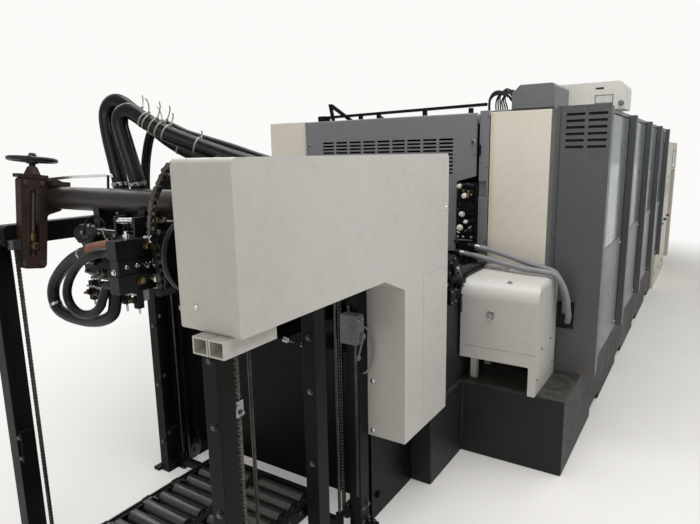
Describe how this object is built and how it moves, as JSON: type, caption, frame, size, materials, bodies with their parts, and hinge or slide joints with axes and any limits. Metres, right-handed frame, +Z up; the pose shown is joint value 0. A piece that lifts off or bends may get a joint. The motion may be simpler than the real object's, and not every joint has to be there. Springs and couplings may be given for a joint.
{
  "type": "offset printing press",
  "caption": "Sheetfed offset printing press with a pile feeder, a row of enclosed printing units with side doors, and a delivery.",
  "frame": {"origin": "on the floor, on the centre line between the side frames, under the infeed face of the first printing unit", "axes": "+X with the sheet from the feeder to the delivery, +Y to the drive side, +Z up"},
  "size_m": [7.83, 1.916, 1.735],
  "materials": {
    "base_bed": "dark grey paint on cast iron",
    "black_frame": "black machine enamel",
    "head_tube": "worn dark paint on tube",
    "rust_bracket": "bare casting with brown rust",
    "cream_sheet": "cream enamel on sheet steel",
    "head_casting": "black enamel on casting",
    "bright_steel": "ground steel",
    "machined_steel": "turned steel",
    "chain_steel": "oiled chain steel",
    "switch_grey": "grey paint on a die-cast box",
    "roller_steel": "dark turned steel",
    "black_plastic": "black moulded plastic",
    "board_steel": "brushed sheet steel",
    "white_knobs": "off-white moulded plastic",
    "guard_grey": "satin grey paint on sheet steel",
    "frame_grey": "grey machine enamel",
    "cylinder_steel": "ground and plated steel",
    "roller_rubber": "dark inking rubber",
    "tower_grey": "light grey enamel",
    "case_grey": "light grey enamel",
    "pillar_grey": "dark grey enamel",
    "door_gloss": "polished pale enamel",
    "cream_panel": "cream enamel, slightly yellowed",
    "box_grey": "mid grey paint",
    "pile_wood": "plain softwood boards",
    "hose_rubber": "black hose rubber",
    "conduit_grey": "grey corrugated conduit"
  },
  "bodies": {
    "press": {"base_bed": "base_bed", "feeder_frames": "black_frame", "feeder_posts": "black_frame", "feeder_cross_beams": "black_frame", "head_tube": "head_tube", "tube_bracket": "rust_bracket", "feeder_cover": "cream_sheet", "suction_head": "head_casting", "sucker_feet": "bright_steel", "hoist_sprockets": "machined_steel", "hoist_chains": "chain_steel", "guide_rods": "bright_steel", "pile_switch": "switch_grey", "feed_board": "board_steel", "damper_drive": "black_frame", "damper_knobs": "white_knobs", "floor_cabinet": "cream_sheet", "unit_frames": "frame_grey", "print_cylinders": "cylinder_steel", "ink_rollers": "roller_rubber", "tower_covers": "tower_grey", "operator_cases": "case_grey", "side_pillars": "pillar_grey", "louvred_panel": "pillar_grey", "cream_panels": "cream_panel", "top_rail": "black_frame", "grey_top_box": "box_grey", "cream_top_box": "cream_sheet", "delivery_covers": "cream_panel", "delivery_board": "pile_wood", "air_hose_rear": "hose_rubber", "air_hose_front": "hose_rubber", "air_hose_branch": "hose_rubber", "head_hose_outer": "hose_rubber", "head_hose_inner": "hose_rubber", "conduit_upper": "conduit_grey", "conduit_lower": "conduit_grey"},
    "pile_table": {"pile_table": "black_frame", "table_rollers": "roller_steel"},
    "guard": {"infeed_guard": "guard_grey"},
    "wheel": {"handwheel": "black_plastic"},
    "door_1": {"side_door_1": "door_gloss"},
    "door_2": {"side_door_2": "door_gloss"},
    "door_3": {"side_door_3": "door_gloss"},
    "door_4": {"side_door_4": "door_gloss"}
  },
  "joints": [
    {"name": "pile_lift", "type": "slide", "parent": "press", "child": "pile_table", "axis": [0, 0, 1], "range_m": [0, 0.8]},
    {"name": "guard_swing", "type": "hinge", "parent": "press", "child": "guard", "pos_m": [-0.009, 0, 1.584], "axis": [0, 1, 0], "range_deg": [0, 75]},
    {"name": "side_door_1_swing", "type": "hinge", "parent": "press", "child": "door_1", "pos_m": [0.083, -1.068, 0.9], "axis": [0, 0, -1], "range_deg": [0, 90]},
    {"name": "side_door_2_swing", "type": "hinge", "parent": "press", "child": "door_2", "pos_m": [0.998, -1.068, 0.9], "axis": [0, 0, -1], "range_deg": [0, 90]},
    {"name": "side_door_3_swing", "type": "hinge", "parent": "press", "child": "door_3", "pos_m": [1.913, -1.068, 0.9], "axis": [0, 0, -1], "range_deg": [0, 90]},
    {"name": "side_door_4_swing", "type": "hinge", "parent": "press", "child": "door_4", "pos_m": [2.828, -1.068, 0.9], "axis": [0, 0, -1], "range_deg": [0, 90]},
    {"name": "wheel_turn", "type": "hinge", "parent": "press", "child": "wheel", "pos_m": [-1.66137, 0.438, 1.40361], "axis": [0.1219, 0, 0.9925], "continuous": true}
  ]
}
